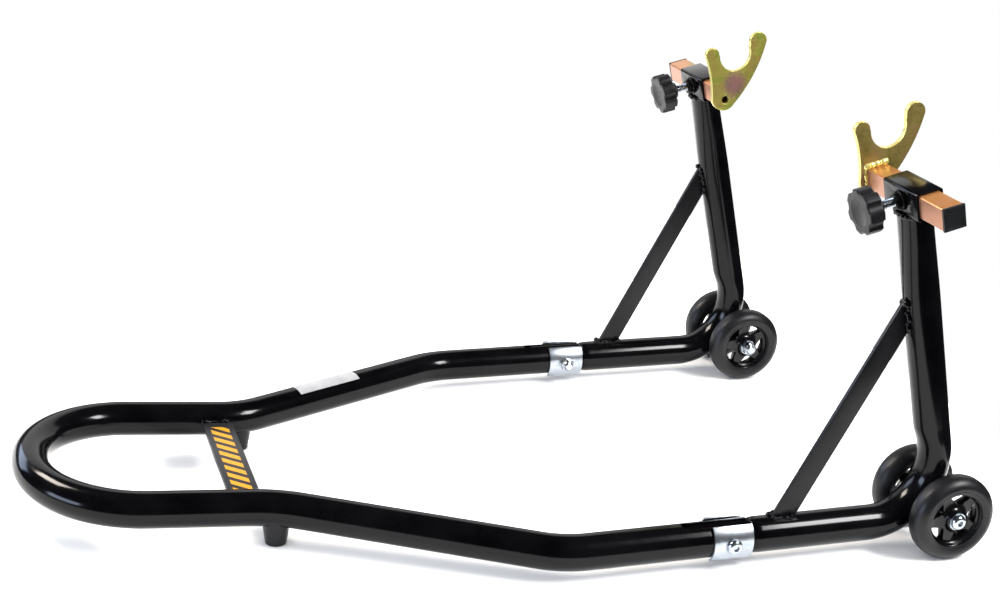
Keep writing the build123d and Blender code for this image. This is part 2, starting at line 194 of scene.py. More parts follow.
def joinAll(pieces):
    selectOnly(*pieces)
    if len(pieces) > 1:
        bpy.ops.object.join()
    return bpy.context.object


def pulled(distance):
    bpy.ops.mesh.extrude_region_move(TRANSFORM_OT_translate={"value": tuple(distance)})


def turned(rings, ringSides=64, capped=True):
    # a turned piece about Z: a circle pulled up and scaled from ring to ring, as (radius, height)
    selectOnly()
    radius, height = rings[0]
    bpy.ops.mesh.primitive_circle_add(vertices=ringSides, radius=radius, location=(0, 0, height),
                                      fill_type="NGON" if capped else "NOTHING")
    piece = bpy.context.object
    freeze(piece)
    editAll(piece)
    for nextRadius, nextHeight in rings[1:]:
        pulled((0, 0, nextHeight - height))
        scale = nextRadius / radius
        bpy.ops.transform.resize(value=(scale, scale, 1), center_override=(0, 0, nextHeight))
        radius, height = nextRadius, nextHeight
    bpy.ops.mesh.select_all(action="SELECT")
    bpy.ops.mesh.remove_doubles(threshold=0.002 * mm)
    bpy.ops.mesh.normals_make_consistent(inside=False)
    leaveEdit()
    return piece


def arcRings(centreRadius, centreHeight, radius, start, end, steps):
    # rings round a rounded corner; angles in degrees from outwards towards up
    angles = [math.radians(start + (end - start) * step / steps) for step in range(steps + 1)]
    return [(centreRadius + radius * math.cos(angle), centreHeight + radius * math.sin(angle))
            for angle in angles]


def smoothShaded(piece, angle=32):
    selectOnly(piece)
    bpy.ops.object.shade_smooth_by_angle(angle=math.radians(angle))


def finishPiece(piece, name, body, slot, finish, *nodes, angle=32):
    smoothShaded(piece, angle)
    piece.name = name
    piece.data.name = name
    piece.data.materials.clear()
    piece.data.materials.append(finish)
    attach(piece, body)
    if nodes:
        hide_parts(*nodes)
    return piece


def linearColour(code):
    # sRGB hex to the linear values that the shaders take
    parts = [int(code[digit:digit + 2], 16) / 255 for digit in (1, 3, 5)]
    return tuple(part / 12.92 if part <= 0.04045 else ((part + 0.055) / 1.055) ** 2.4
                 for part in parts) + (1.0,)


def perMm(size):
    # pattern scale whose features are this many millimetres across
    return 1 / (size * mm)


def addNode(tree, kind, values=None, links=None):
    node = tree.nodes.new(kind)
    for name, value in (values or {}).items():
        if name == "stops":
            ramp = node.color_ramp.elements
            while len(ramp) < len(value):
                ramp.new(1)
            for element, (position, colour) in zip(ramp, value):
                element.position = position
                element.color = linearColour(colour)
        elif isinstance(name, int) or name in node.inputs:
            node.inputs[name].default_value = value
        else:
            setattr(node, name, value)
    for name, socket in (links or {}).items():
        tree.links.new(socket, node.inputs[name])
    return node


def newFinish(name, **values):
    finish = bpy.data.materials.new(name)
    finish.use_nodes = True
    tree = finish.node_tree
    shader = tree.nodes["Principled BSDF"]
    for socket, value in values.items():
        shader.inputs[socket.replace("_", " ")].default_value = value
    return finish, tree, shader, addNode(tree, "ShaderNodeTexCoord").outputs


def surface(tree, shader, colour, gloss, bump):
    # the three patterns that every plated, painted and moulded finish feeds to its shader
    tree.links.new(colour, shader.inputs["Base Color"])
    tree.links.new(gloss.outputs["Result"], shader.inputs["Roughness"])
    tree.links.new(bump.outputs["Normal"], shader.inputs["Normal"])


def powderCoat(name, shine, bumpSize, bumpHeight, dark="#030304", light="#08080a"):
    # polyester powder coat: a thick melted film; sharp reflections that waver with orange peel
    finish, tree, shader, coords = newFinish(name, IOR=1.5, Specular_IOR_Level=0.19)
    cloudy = addNode(tree, "ShaderNodeTexNoise",
                     {"Scale": perMm(40), "Detail": 3, "Roughness": 0.55},
                     {"Vector": coords["Object"]})
    colour = addNode(tree, "ShaderNodeValToRGB", {"stops": [(0.35, dark), (0.65, light)]},
                     {"Fac": cloudy.outputs["Fac"]})
    mottle = addNode(tree, "ShaderNodeTexNoise",
                     {"Scale": perMm(12), "Detail": 3, "Roughness": 0.55},
                     {"Vector": coords["Object"]})
    gloss = addNode(tree, "ShaderNodeMapRange", {"To Min": shine * 0.8, "To Max": shine * 1.3},
                    {"Value": mottle.outputs["Fac"]})
    peel = addNode(tree, "ShaderNodeTexNoise",
                   {"Scale": perMm(bumpSize), "Detail": 1.5, "Roughness": 0.55},
                   {"Vector": coords["Object"]})
    bump = addNode(tree, "ShaderNodeBump", {"Strength": 0.5, "Distance": bumpHeight * mm},
                   {"Height": peel.outputs["Fac"]})
    surface(tree, shader, colour.outputs["Color"], gloss, bump)
    return finish


def clearZinc(name, shine):
    # bright zinc plate with clear-blue passivation: cool silver, softly blurred reflections
    finish, tree, shader, coords = newFinish(name, Metallic=1.0)
    tint = addNode(tree, "ShaderNodeTexNoise",
                   {"Scale": perMm(9), "Detail": 4, "Roughness": 0.55},
                   {"Vector": coords["Object"]})
    colour = addNode(tree, "ShaderNodeValToRGB",
                     {"stops": [(0.3, "#a3acb6"), (0.52, "#b9c0c6"), (0.72, "#b2b1bd")]},
                     {"Fac": tint.outputs["Fac"]})
    grain = addNode(tree, "ShaderNodeTexNoise",
                    {"Scale": perMm(0.7), "Detail": 5, "Roughness": 0.55},
                    {"Vector": coords["Object"]})
    gloss = addNode(tree, "ShaderNodeMapRange", {"To Min": shine * 0.75, "To Max": shine * 1.35},
                    {"Value": grain.outputs["Fac"]})
    bump = addNode(tree, "ShaderNodeBump", {"Strength": 0.25, "Distance": 0.03 * mm},
                   {"Height": grain.outputs["Fac"]})
    surface(tree, shader, colour.outputs["Color"], gloss, bump)
    return finish


def yellowZinc(name, stops, patchSize, edge, edgeAxis, shine=0.34, heat=None):
    # yellow chromate on zinc: a thin film whose colour drifts in patches; faces square to edgeAxis
    # take the edge colour: a painted highlight on the hook plates' and welds' cut edges, a flat
    # pink on the bar's sides
    finish, tree, shader, coords = newFinish(name, Metallic=0.6)
    patches = addNode(tree, "ShaderNodeTexNoise",
                      {"Scale": perMm(patchSize), "Detail": 2, "Roughness": 0.55},
                      {"Vector": coords["Object"]})
    mottle = addNode(tree, "ShaderNodeTexNoise",
                     {"Scale": perMm(1.6), "Detail": 4, "Roughness": 0.7},
                     {"Vector": coords["Object"]})
    blend = addNode(tree, "ShaderNodeMath", {"operation": "MULTIPLY_ADD", 1: 0.45},
                    {0: mottle.outputs["Fac"]})
    softPatch = addNode(tree, "ShaderNodeMath", {"operation": "MULTIPLY", 1: 0.55},
                        {0: patches.outputs["Fac"]})
    tree.links.new(softPatch.outputs["Value"], blend.inputs[2])
    colour = addNode(tree, "ShaderNodeValToRGB", {"stops": stops}, {"Fac": blend.outputs["Value"]})
    faceColour = colour.outputs["Color"]
    if heat:
        # welding heat on the far side has turned the film pink and grey here
        centre, reach, tint = heat
        away = addNode(tree, "ShaderNodeVectorMath", {"operation": "DISTANCE", 1: centre},
                       {0: coords["Object"]})
        ragged = addNode(tree, "ShaderNodeMath", {"operation": "MULTIPLY_ADD", 1: 26 * mm},
                         {0: mottle.outputs["Fac"], 2: away.outputs["Value"]})
        near = addNode(tree, "ShaderNodeMapRange",
                       {"From Min": reach + 16 * mm, "From Max": reach + 8 * mm, "To Max": 0.85},
                       {"Value": ragged.outputs["Value"]})
        tinted = addNode(tree, "ShaderNodeMix", {"data_type": "RGBA", 7: linearColour(tint)},
                         {0: near.outputs["Result"], 6: faceColour})
        faceColour = tinted.outputs[2]
    # painted highlight: faces square to edgeAxis get the edge colour wherever the light falls
    facing = addNode(tree, "ShaderNodeVectorMath", {"operation": "DOT_PRODUCT", 1: edgeAxis},
                     {0: coords["Normal"]})
    size = addNode(tree, "ShaderNodeMath", {"operation": "ABSOLUTE"}, {0: facing.outputs["Value"]})
    flat = addNode(tree, "ShaderNodeMapRange", {"From Min": 0.3, "From Max": 0.95},
                   {"Value": size.outputs["Value"]})
    mixed = addNode(tree, "ShaderNodeMix", {"data_type": "RGBA", 6: linearColour(edge)},
                    {0: flat.outputs["Result"], 7: faceColour})
    gloss = addNode(tree, "ShaderNodeMapRange", {"To Min": shine * 0.8, "To Max": shine * 1.25},
                    {"Value": mottle.outputs["Fac"]})
    bump = addNode(tree, "ShaderNodeBump", {"Strength": 0.3, "Distance": 0.03 * mm},
                   {"Height": mottle.outputs["Fac"]})
    surface(tree, shader, mixed.outputs[2], gloss, bump)
    return finish


def moulded(name, dark, light, shine, grainSize, grainHeight, **values):
    # moulded rubber or plastic: softly shiny, with the faint grain of the mould
    finish, tree, shader, coords = newFinish(name, IOR=1.5, Specular_IOR_Level=0.3, **values)
    cloudy = addNode(tree, "ShaderNodeTexNoise",
                     {"Scale": perMm(15), "Detail": 4, "Roughness": 0.55},
                     {"Vector": coords["Object"]})
    colour = addNode(tree, "ShaderNodeValToRGB", {"stops": [(0.3, dark), (0.7, light)]},
                     {"Fac": cloudy.outputs["Fac"]})
    grain = addNode(tree, "ShaderNodeTexNoise",
                    {"Scale": perMm(grainSize), "Detail": 4, "Roughness": 0.55},
                    {"Vector": coords["Object"]})
    gloss = addNode(tree, "ShaderNodeMapRange", {"To Min": shine * 0.85, "To Max": shine * 1.15},
                    {"Value": cloudy.outputs["Fac"]})
    bump = addNode(tree, "ShaderNodeBump", {"Strength": 0.4, "Distance": grainHeight * mm},
                   {"Height": grain.outputs["Fac"]})
    surface(tree, shader, colour.outputs["Color"], gloss, bump)
    return finish


finishes = {
    "powder": powderCoat("gloss black powder coat", 0.13, 2.2, 0.012),
    "powderWeld": powderCoat("powder coat over weld", 0.1, 0.9, 0.05),
    "powderPlate": powderCoat("satin black powder coat", 0.3, 1.4, 0.02, "#0c0c0d", "#171719"),
    "zinc": clearZinc("bright zinc plate", 0.24),
    "zincSheet": clearZinc("bright zinc sheet", 0.3),
    # in each yellow zinc the colour after the patch size is the edge colour: a painted highlight on
    # the hooks' edges and the hook weld, a flat pink on the bar's sides
    "hook_left": yellowZinc("yellow zinc plate, greenish",
                            [(0.32, "#8a8a3c"), (0.42, "#86913a"), (0.5, "#a3a049"),
                             (0.57, "#a98d4c"), (0.64, "#8f9a4a"), (0.72, "#a97f6a")],
                            14, "#c9bf78", (0, 1, 0),
                            heat=(sleeveMiddle + across * 0.009 + along * 0.010
                                  + Vector((0, middleOf("hook_plate_left").y - trackHalf, 0)),
                                  0.013, "#96676c")),
    "hook_right": yellowZinc("yellow zinc plate, olive",
                             [(0.32, "#6f6a35"), (0.45, "#8a7a41"), (0.53, "#98874b"),
                              (0.62, "#9a7a52"), (0.72, "#a37a62")], 16, "#d3c67a", (0, 1, 0)),
    "bar": yellowZinc("yellow zinc box bar",
                      [(0.36, "#7f8348"), (0.43, "#b07a3e"), (0.52, "#ba7d46"), (0.6, "#bd8462"),
                       (0.68, "#8c8a4e")], 12, "#ac7b62", tuple(along)),
    "zincWeld": yellowZinc("yellow zinc on weld", [(0.4, "#f3e582"), (0.6, "#dcc75e")],
                           6, "#fff4a8", (0, 1, 0), 0.2),
    "rubber": moulded("tyre rubber", "#0b0b0d", "#141416", 0.4, 0.5, 0.02),
    "core": moulded("glossy black nylon", "#050506", "#0b0b0c", 0.2, 0.8, 0.01),
    "knob": moulded("black knob phenolic", "#0d0d0f", "#151517", 0.4, 0.5, 0.03),
    "cap": moulded("black polythene cap", "#0d0e0f", "#141617", 0.5, 0.6, 0.02),
    "foot": moulded("foot rubber", "#08080a", "#101012", 0.38, 0.6, 0.02),
    "bush": moulded("natural nylon bush", "#b9b3a4", "#d2ccbd", 0.4, 0.6, 0.01),
    "blackZinc": powderCoat("black zinc nut", 0.42, 0.5, 0.08),
}
print("finishes made")


handle = {"openEnd": 18.5 * mm, "straight": 150.8 * mm, "splay": 222.7 * mm, "grip": 199 * mm,
          "kinkRadius": 90 * mm, "endStraight": 3.1 * mm, "footOut": 3 * mm,
          "innerRise": 8.4 * mm, "slope": 4.41,
          "slotLength": 63 * mm, "slotWidth": 3.5 * mm, "slotPast": 10 * mm,
          "eyeRadius": 4 * mm}
rear = {"bendRadius": 60 * mm, "spigotLength": 43 * mm, "spigotRadius": 13.8 * mm,
        "shoulder": 8 * mm, "pinch": 90 * mm, "halfAcross": 13.5 * mm, "halfWide": 18.5 * mm,
        "crush": 0.18, "swell": 0.06, "crushEnd": 22 * mm, "pinchRings": 8,
        "swageRings": 6, "swageGap": 2.5 * mm}


def bentTube(route, radii):
    # a circle pushed along straight runs and spun round each corner; radius 0 only adds a ring
    selectOnly()
    first = (route[1] - route[0]).normalized()
    bpy.ops.mesh.primitive_circle_add(vertices=tube["sides"], radius=tube["radius"],
                                      location=route[0],
                                      rotation=first.to_track_quat("Z", "Y").to_euler())
    piece = bpy.context.object
    freeze(piece)
    editAll(piece)
    here = route[0]
    for corner, before, after, radius in zip(route[1:], route, route[2:], radii):
        arriving = (corner - before).normalized()
        leaving = (after - corner).normalized()
        turn = arriving.angle(leaving)
        setback = radius * math.tan(turn / 2)
        pulled(corner - arriving * setback - here)
        if radius:
            inward = (leaving - arriving * arriving.dot(leaving)).normalized()
            centre = corner - arriving * setback + inward * radius
            # spin turns the other way round its axis, so the axis is turned over
            bpy.ops.mesh.spin(steps=tube["bendSteps"], angle=turn, center=centre,
                              axis=-arriving.cross(leaving).normalized())
        here = corner + leaving * setback
    pulled(route[-1] - here)
    bpy.ops.mesh.select_all(action="SELECT")
    bpy.ops.mesh.remove_doubles(threshold=0.002 * mm)
    bpy.ops.mesh.normals_make_consistent(inside=False)
    leaveEdit()
    return piece


def outwardFaces(piece, point):
    # an open tube has no inside to test, so its faces are turned by one face's side of the line
    face = min(piece.data.polygons, key=lambda one: (one.center - point).length)
    if face.normal.dot(face.center - point) < 0:
        editAll(piece)
        bpy.ops.mesh.flip_normals()
        leaveEdit()


footMiddle = middleOf("foot_left")
openX = boltMiddle.x + handle["openEnd"]
outerBend = Vector((boltMiddle.x - handle["straight"], trackHalf, tubeHeight))
innerBend = Vector((outerBend.x - handle["splay"], footMiddle.y - handle["footOut"],
                    tubeHeight + handle["innerRise"]))
rise = math.tan(math.radians(handle["slope"]))
endCorner = innerBend + Vector((-handle["grip"], 0, rise * handle["grip"]))
endRadius = innerBend.y - handle["endStraight"]


def handleTube():
    half = [Vector((openX, trackHalf, tubeHeight)), outerBend, innerBend, endCorner]
    route = half + [flipped(point) for point in reversed(half)]
    kink = handle["kinkRadius"]
    piece = bentTube(route, [kink, kink, endRadius, endRadius, kink, kink])
    outwardFaces(piece, route[0])
    applied(piece, "SOLIDIFY", thickness=tube["wall"], offset=-1)
    eyeX = openX - handle["slotLength"] + handle["eyeRadius"]
    for sign in sides.values():
        top = Vector(((eyeX + openX) / 2, sign * trackHalf, tubeHeight + tube["radius"]))
        past = handle["slotPast"]
        cut(piece, block((openX - eyeX + 2 * past, handle["slotWidth"], tube["radius"]),
                         top + Vector((past, 0, 0))))
        cut(piece, cylinder(handle["eyeRadius"], tube["radius"], (eyeX, top.y, top.z)))
    return piece


def smoothStep(value):
    value = min(max(value, 0.0), 1.0)
    return value * value * (3 - 2 * value)


def rearTube():
    axisStart = Vector((openX - rear["spigotLength"], trackHalf, tubeHeight))
    swageStart = Vector((openX + rear["swageGap"], trackHalf, tubeHeight))
    swage = [swageStart + Vector((rear["shoulder"] * (step / rear["swageRings"]) ** 2, 0, 0))
             for step in range(rear["swageRings"] + 1)]
    top = sleeveFoot
    corner = top - along * ((top.z - tubeHeight) / along.z)
    setback = rear["bendRadius"] * math.tan(Vector((1, 0, 0)).angle(along) / 2)
    bendEnd = corner + along * setback
    settle = [bendEnd + along * (step * 3 * mm) for step in range(1, 8)]
    pinchStart = top - along * rear["pinch"]
    pinch = [pinchStart + along * (rear["pinch"] * step / rear["pinchRings"])
             for step in range(rear["pinchRings"])]
    route = [axisStart] + swage + [corner] + settle + pinch + [top]
    radii = [0] * len(swage) + [rear["bendRadius"]] + [0] * (len(settle) + len(pinch))
    piece = bentTube(route, radii)
    outwardFaces(piece, swage[-1])
    centre = bendEnd - across * rear["bendRadius"]
    for vertex in piece.data.vertices:
        spot = vertex.co
        if spot.x < swage[-1].x - 0.01 * mm:
            share = min(1, max(0, (swage[-1].x - spot.x) / rear["shoulder"]))
            lost = (1 - math.sqrt(1 - share * share)) * (1 - rear["spigotRadius"] / tube["radius"])
            shrink = 1 - lost
            spot.y = trackHalf + (spot.y - trackHalf) * shrink
            spot.z = tubeHeight + (spot.z - tubeHeight) * shrink
            continue
        above = (spot - bendEnd).dot(along)
        height = (spot - pinchStart).dot(along) / rear["pinch"]
        if above > -0.1 * mm:
            middle = bendEnd + along * above
            crushed = 1 - smoothStep(above / rear["crushEnd"])
            side = across
        else:
            arm = Vector((spot.x - centre.x, 0, spot.z - centre.z))
            swung = Vector((0, 0, -1)).angle(arm.normalized()) if spot.x > centre.x else 0
            share = swung / Vector((1, 0, 0)).angle(along)
            crushed = smoothStep(share / 0.3)
            side = arm.normalized()
            middle = centre + side * rear["bendRadius"]
            if spot.x <= centre.x:
                continue
        middle.y = trackHalf
        reach = (spot - middle).dot(side)
        wide = spot.y - trackHalf
        pinched = smoothStep(height)
        thin = 1 + pinched * (rear["halfAcross"] / tube["radius"] - 1)
        broad = 1 + pinched * (rear["halfWide"] / tube["radius"] - 1)
        if reach < 0:
            thin *= 1 - rear["crush"] * crushed
        broad *= 1 + rear["swell"] * crushed
        vertex.co = middle + side * (reach * thin) + Vector((0, wide * broad, 0))
    applied(piece, "SOLIDIFY", thickness=tube["wall"], offset=-1)
    return piece


finishPiece(handleTube(), "handleTube", "frame", "black_powder_coat", finishes["powder"],
            "handle_tube")
leftRear = rearTube()
rightRear = copyOf(leftRear)
rightRear.scale.y = -1
freeze(rightRear)
editAll(rightRear)
bpy.ops.mesh.flip_normals()
leaveEdit()
for side, piece in (("left", leftRear), ("right", rightRear)):
    finishPiece(piece, "rearTube." + side, "frame", "black_powder_coat", finishes["powder"],
                "rear_tube_" + side)
print("tubes bent")


# each plain node's edge radius in mm, and its finish; the two hooks have one each
easedEdges = {"hook_plate": (0.55, "hook_"), "slide_bar": (0.25, "bar"),
              "joint_saddle_inner": (0.45, "zincSheet"), "joint_saddle_outer": (0.45, "zincSheet"),
              "brace": (0.4, "powderPlate"), "axle_tube": (0.4, "powder")}


def easedCopy(node, radius):
    # a copy of the plain node, its corners rounded as paint, plating and tumbling leave them
    piece = copyOf(frame["nodes"][node])
    for key in list(piece.keys()):
        del piece[key]
    piece.parent = None
    editAll(piece)
    bpy.ops.mesh.remove_doubles(threshold=0.005 * mm)
    bpy.ops.mesh.dissolve_limited(angle_limit=math.radians(0.6))
    bpy.ops.mesh.customdata_custom_splitnormals_clear()
    leaveEdit()
    return eased(piece, radius * mm, 3, 35)


def slotOf(node):
    return frame["nodes"][node].data.materials[0].name.split(".")[0]


for stem, (radius, finishName) in easedEdges.items():
    for side in sides:
        node = stem + "_" + side
        words = stem.split("_")
        name = words[0] + "".join(word.capitalize() for word in words[1:]) + "." + side
        body = "slide_" + side if stem in ("hook_plate", "slide_bar") else "frame"
        finish = finishes[finishName + side if finishName.endswith("_") else finishName]
        finishPiece(easedCopy(node, radius), name, body, slotOf(node), finish, node, angle=40)
print("edges eased")


wheel = {"radius": 40, "halfWidth": 12, "rimRadius": 27, "lip": 25.6, "shoulder": 10.5,
         "spokes": 5, "openingInner": 12.4, "openingOuter": 22.9, "openingHalfAngle": 27,
         "openingCorner": 2.2, "rimEdge": 0.55}


def tyre():
    # tread and shoulders in one curve, a shallow step on each side wall, then the bead lip
    half = wheel["halfWidth"]
    shoulder = wheel["shoulder"]
    oneSide = [(wheel["rimRadius"], half - 3.2), (wheel["lip"] + 0.3, half - 3.0),
               (wheel["lip"], half - 2.4), (wheel["lip"] + 0.4, half - 1.6),
               (wheel["lip"] + 1.3, half - 1.25), (28.3, half - 0.85), (28.8, half - 0.6),
               (29.3, half - 0.75), (29.9, half - 0.5)]
    shoulders = arcRings(wheel["radius"] - shoulder, half - shoulder, shoulder, 76, 0, 14)
    upper = oneSide + shoulders
    rings = upper + [(radius, -height) for radius, height in reversed(upper)]
    rings.append(rings[0])
    return turned([(radius * mm, height * mm) for radius, height in rings], 96, capped=False)


def openingCutter():
    # a wedge with its point to the hub and its back on a circle, corners rounded
    outer = wheel["openingOuter"] * mm
    wedge = cylinder(outer, 16 * mm, vertices=96)
    apex = Vector((wheel["openingInner"] * mm, 0, 0))
    for sign in (1, -1):
        angle = math.radians(wheel["openingHalfAngle"]) * sign
        back = Vector((math.cos(angle), math.sin(angle), 0)) * outer
        lean = (back - apex).normalized()
        editAll(wedge)
        bpy.ops.mesh.bisect(plane_co=apex, plane_no=(-sign * lean.y, sign * lean.x, 0),
                            use_fill=True, clear_outer=True)
        leaveEdit()

    def uprightCorner(first, second):
        tall = abs(first.z - second.z) > 10 * mm
        sharp = abs(first.y) < 0.01 * mm and first.x < 20 * mm
        backCorner = abs(abs(math.atan2(first.y, first.x))
                         - math.radians(wheel["openingHalfAngle"])) < 0.01
        return tall and (sharp or backCorner)

    editEdges(wedge, uprightCorner)
    bpy.ops.mesh.bevel(offset=wheel["openingCorner"] * mm, segments=6, affect="EDGES")
    leaveEdit()
    return wedge


def wheelCore():
    # hub cone, dished web and glossy rim in one moulding, then five openings between spokes
    upper = [(6.1, 9.5), (8.2, 9.5), (9.0, 9.1), (9.5, 7.9), (10.4, 6.3), (12.0, 5.2), (14.0, 4.5),
             (17.5, 4.1), (20.8, 4.1), (23.0, 4.7), (24.1, 5.9), (24.6, 7.5), (24.9, 8.4),
             (25.3, 8.8), (25.9, 8.7), (26.9, 8.6)]
    rings = upper + [(radius, -height) for radius, height in reversed(upper)]
    rings.append(rings[0])
    core = turned([(radius * mm, height * mm) for radius, height in rings], 120, capped=False)
    cutter = openingCutter()
    for spoke in range(wheel["spokes"]):
        turn = math.radians(spoke * 360 / wheel["spokes"])
        one = place(copyOf(cutter), (0, 0, 0), (0, 0, 1), (math.cos(turn), math.sin(turn), 0))
        cut(core, one)
    bpy.data.objects.remove(cutter)
    return eased(core, wheel["rimEdge"] * mm, 2, 48)


wheelTurns = {"outer_left": 20, "inner_left": -4, "outer_right": 9, "inner_right": 33}
firstTyre = tyre()
firstCore = wheelCore()
for spot, degrees in wheelTurns.items():
    where, side = spot.split("_")
    body = "wheel_" + spot
    middle = middleOf("tyre_" + spot)
    turn = math.radians(degrees)
    start = Vector((math.cos(turn), 0, math.sin(turn)))
    facing = outward * sides[side]
    words = where.capitalize() + "." + side
    finishPiece(place(copyOf(firstTyre), middle, facing, start), "tyre" + words, body,
                "tyre_rubber", finishes["rubber"], "tyre_" + spot)
    finishPiece(place(copyOf(firstCore), middle, facing, start), "wheelCore" + words, body,
                "core_plastic", finishes["core"], "wheel_core_" + spot, angle=38)
bpy.data.objects.remove(firstTyre)
bpy.data.objects.remove(firstCore)
print("wheels turned")


bolt = {"radius": 4 * mm, "root": 3.35 * mm, "pitch": 1.25 * mm, "headRadius": 7 * mm,
        "headHeight": 4.4 * mm, "socket": 5 * mm, "socketDepth": 2.6 * mm,
        "nutSize": 13 * mm, "nutHeight": 6.2 * mm, "lockHeight": 8 * mm, "tip": 1.5 * mm,
        "domeRadius": 3.4 * mm, "domeFoot": 1 * mm, "threaded": 14 * mm, "bore": 4.05 * mm}


def threadedRod(length, crest):
    # one tooth of the thread, wound up with Screw and cut square at both ends
    root = crest - (bolt["radius"] - bolt["root"])
    selectOnly()
    bpy.ops.mesh.primitive_circle_add(vertices=3, radius=root)
    rod = bpy.context.object
    rod.data.vertices[0].co = (root, 0, -bolt["pitch"])
    bpy.ops.object.mode_set(mode="EDIT")
    bpy.ops.mesh.select_mode(type="VERT")
    bpy.ops.mesh.select_all(action="DESELECT")
    leaveEdit()
    for vertex in rod.data.vertices[1:]:
        vertex.select = True
    bpy.ops.object.mode_set(mode="EDIT")
    bpy.ops.mesh.delete(type="VERT")
    bpy.ops.mesh.select_all(action="SELECT")
    flat = 0.12 * bolt["pitch"]
    rising = bolt["pitch"] / 2 - flat
    for step in ((0, 0, flat), (crest - root, 0, rising), (0, 0, flat), (root - crest, 0, rising)):
        pulled(step)
    leaveEdit()
    turns = int(length / bolt["pitch"]) + 3
    applied(rod, "SCREW", angle=math.radians(360), screw_offset=bolt["pitch"], iterations=turns,
            steps=24, render_steps=24, use_merge_vertices=True, merge_threshold=0.001 * mm)
    editAll(rod)
    bpy.ops.mesh.remove_doubles(threshold=0.002 * mm)
    bpy.ops.mesh.bisect(plane_co=(0, 0, 0), plane_no=(0, 0, -1), use_fill=True, clear_outer=True)
    bpy.ops.mesh.select_all(action="SELECT")
    bpy.ops.mesh.bisect(plane_co=(0, 0, length), plane_no=(0, 0, 1), use_fill=True,
                        clear_outer=True)
    bpy.ops.mesh.select_all(action="SELECT")
    bpy.ops.mesh.normals_make_consistent(inside=False)
    leaveEdit()
    return rod


def hexPrism(flats, height, low=0.0):
    return cylinder(flats / 2 / math.cos(math.radians(30)), height, (0, 0, low + height / 2),
                    vertices=6)


def buttonBolt(length):
    # domed head above Z = 0 with a hexagon socket, thread down to the tip
    head = bolt["headRadius"]
    dome = arcRings(head - bolt["domeRadius"], bolt["domeFoot"], bolt["domeRadius"], 0, 90, 10)
    rings = [(head - 0.3 * mm, 0), (head, 0.3 * mm)] + dome
    cap = turned(rings, 64)
    cut(cap, hexPrism(bolt["socket"], 2 * bolt["socketDepth"],
                      bolt["headHeight"] - bolt["socketDepth"]))
    eased(cap, 0.2 * mm, 2, 40)
    threaded = bolt["threaded"]
    shank = turned([(bolt["radius"] - 0.3 * mm, -length + threaded),
                    (bolt["radius"], 0.2 * mm)], 32)
    tip = threadedRod(threaded, bolt["radius"])
    place(tip, (0, 0, -length), (0, 0, 1))
    return joinAll([cap, shank, tip])


def lockNut():
    # hexagon with turned corners and the swaged collar that holds the nylon ring
    nut = hexPrism(bolt["nutSize"], bolt["nutHeight"])
    corner = bolt["nutSize"] / 2 / math.cos(math.radians(30))
    flat = bolt["nutSize"] / 2 - 0.2 * mm
    low = 0.75 * mm
    turnedShape = turned([(flat, 0), (corner, low), (corner, bolt["nutHeight"] - low),
                          (flat, bolt["nutHeight"])], 64)
    cut(nut, turnedShape, "INTERSECT")
    bore = bolt["bore"]
    cut(nut, cylinder(bore, 4 * bolt["nutHeight"]))
    collarFoot = bolt["nutHeight"] - 0.3 * mm
    collarTop = bolt["lockHeight"]
    collar = turned([(bore, collarFoot), (6.0 * mm, collarFoot), (6.0 * mm, collarTop - 0.9 * mm),
                     (5.7 * mm, collarTop - 0.3 * mm), (5.2 * mm, collarTop),
                     (4.8 * mm, collarTop - 0.1 * mm), (4.6 * mm, collarTop - 0.6 * mm),
                     (bore, collarTop - 0.9 * mm), (bore, collarFoot)], 48, capped=False)
    eased(nut, 0.25 * mm, 2, 25)
    return joinAll([nut, collar])


firstNut = lockNut()
for stem, middle in (("joint", boltMiddle), ("axle", axleMiddle)):
    low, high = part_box(stem + "_bolts")
    seatOut = high.y - bolt["headHeight"]
    nutLow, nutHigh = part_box(stem + "_lock_nuts")
    seatIn = nutHigh.y
    length = seatOut - seatIn + bolt["lockHeight"] + bolt["tip"]
    firstBolt = buttonBolt(length)
    for side, sign in sides.items():
        for first, seat, facing, turn, word, node in (
                (firstBolt, seatOut, outward * sign, 0.5, "Bolt.", "_bolts"),
                (firstNut, seatIn, -outward * sign, 0.2, "LockNut.", "_lock_nuts")):
            spot = Vector((middle.x, sign * seat, middle.z))
            start = Vector((math.cos(turn), 0, math.sin(turn)))
            finishPiece(place(copyOf(first), spot, facing, start), stem + word + side, "frame",
                        "bright_zinc", finishes["zinc"], stem + node)
    bpy.data.objects.remove(firstBolt)
bpy.data.objects.remove(firstNut)

clamp = {"nutHeight": 6.5 * mm, "standoff": 19.5 * mm, "inKnob": 11 * mm, "tipGap": 0.1 * mm,
         "barDepth": 2.5 * mm}
studStart = clamp["tipGap"] - clamp["barDepth"]      # its tip just clears the bar in the sleeve
studLength = clamp["standoff"] + clamp["inKnob"] - studStart
firstStud = threadedRod(studLength - 0.1 * mm, bolt["radius"] - 0.05 * mm)
for side in sides:
    spot = onSide(clampFace - across * studStart, side)
    finishPiece(place(copyOf(firstStud), spot, -across, outward), "clampStud." + side,
                "stud_" + side, "bright_zinc", finishes["zinc"], "clamp_stud_" + side)
bpy.data.objects.remove(firstStud)
print("fasteners cut")


drops = random.Random(11)


def weldBead(seam, size, spacing, jitter, closed=False):
    # overlapping drops along the seam, melted together; a lively surface like real weld
    points = list(seam) + ([seam[0]] if closed else [])
    beads = []
    for start, end in zip(points, points[1:]):
        steps = max(1, round((end - start).length / (spacing * mm)))
        for step in range(steps):
            spot = start.lerp(end, step / steps)
            nudge = Vector([drops.uniform(-jitter, jitter) * mm for _ in range(3)])
            selectOnly()
            bpy.ops.mesh.primitive_uv_sphere_add(segments=12, ring_count=8, location=spot + nudge,
                                                 radius=size * mm * drops.uniform(0.75, 1.2))
            beads.append(bpy.context.object)
    bead = joinAll(beads)
    freeze(bead)
    applied(bead, "REMESH", mode="VOXEL", voxel_size=0.45 * mm)
    applied(bead, "SMOOTH", factor=0.5, iterations=2)
    return bead


